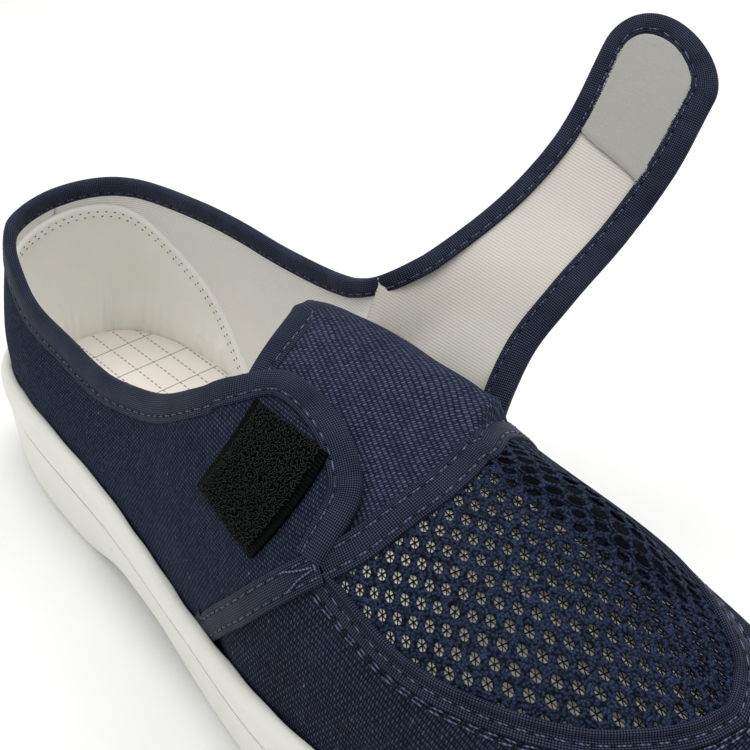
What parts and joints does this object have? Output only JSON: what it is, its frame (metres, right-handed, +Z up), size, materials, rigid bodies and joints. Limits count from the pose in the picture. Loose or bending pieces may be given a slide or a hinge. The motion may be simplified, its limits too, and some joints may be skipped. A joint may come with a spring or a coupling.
{
  "type": "anti-static work shoe",
  "caption": "Low navy canvas and mesh anti-static work shoe for the right foot, on a white moulded cup sole, with its hook-and-loop instep strap pulled open.",
  "frame": {"origin": "on the floor under the middle of the heel, 36 mm from the back of the sole", "axes": "+X towards the toe, +Y to the medial side, +Z up"},
  "size_m": [0.275, 0.1627, 0.1342],
  "materials": {
    "sole": "moulded, satin",
    "insole": "pale cloth with a fine grid",
    "canvas": "navy canvas and spacer mesh",
    "hook": "black hook tape",
    "loop": "white loop tape"
  },
  "bodies": {
    "root": {"outsole": "sole", "insole": "insole", "upper": "canvas", "tongue": "canvas", "strap": "canvas", "hook_patch": "hook", "loop_patch": "loop"}
  },
  "joints": []
}
